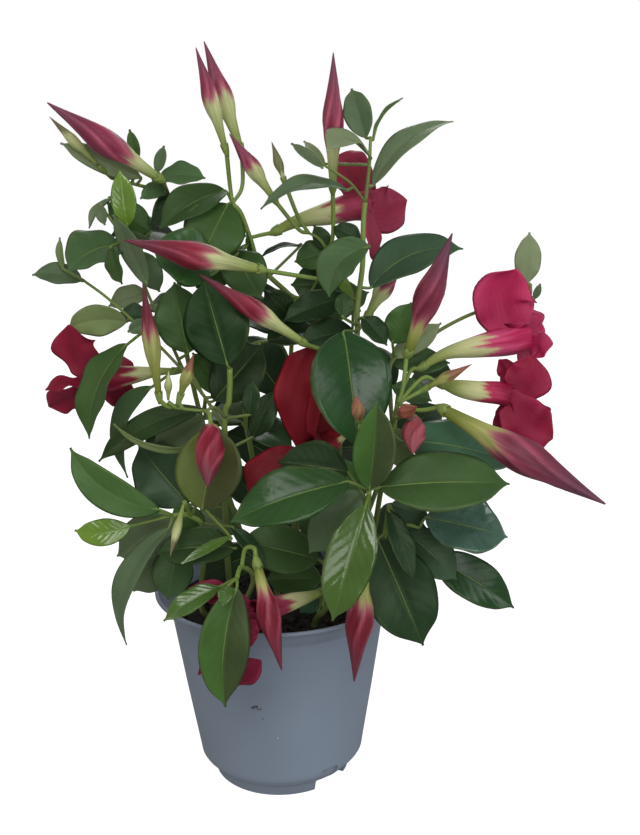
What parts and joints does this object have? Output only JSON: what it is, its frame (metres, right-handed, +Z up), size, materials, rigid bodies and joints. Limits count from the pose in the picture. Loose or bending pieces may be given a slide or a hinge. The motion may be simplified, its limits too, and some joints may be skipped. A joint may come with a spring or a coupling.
{
  "type": "potted plant",
  "caption": "Flowering mandevilla in a grey-blue nursery pot: twining stems, glossy opposite leaves, furled crimson buds and open trumpet flowers.",
  "frame": {"origin": "centre of the pot's underside, on the ground", "axes": "+Z up out of the pot, -Y towards the front of the plant, +X to its right seen from the front"},
  "size_m": [0.26, 0.1948, 0.38],
  "materials": {
    "pot": "matte",
    "soil": "rough, crumbly",
    "leaf": "glossy",
    "bud": "satin",
    "flower": "velvety"
  },
  "bodies": {
    "root": {"pot": "pot", "soil": "soil", "stem_right": "leaf", "stem_top": "leaf", "stem_left": "leaf", "shoot_left": "leaf", "shoot_front_left": "leaf", "shoot_front": "leaf", "shoot_right": "leaf", "stem_raceme": "leaf", "stem_back_left": "leaf", "stem_back": "leaf", "stem_back_right": "leaf", "stem_middle": "leaf", "bud_1": "bud", "bud_3": "bud", "bud_4": "bud", "bud_5": "bud", "bud_6": "bud", "bud_7": "bud", "bud_8": "bud", "bud_9": "bud", "bud_10": "bud", "bud_11": "bud", "bud_13": "bud", "bud_14": "bud", "bud_15": "bud", "bud_16": "bud", "bud_17": "bud", "bud_18": "bud", "bud_19": "bud", "bud_20": "bud", "bud_21": "bud", "bud_23": "bud", "flower_left": "flower", "flower_top": "flower", "flower_right": "flower", "flower_low_right": "flower", "flower_centre": "flower", "flower_front": "flower"}
  },
  "joints": []
}
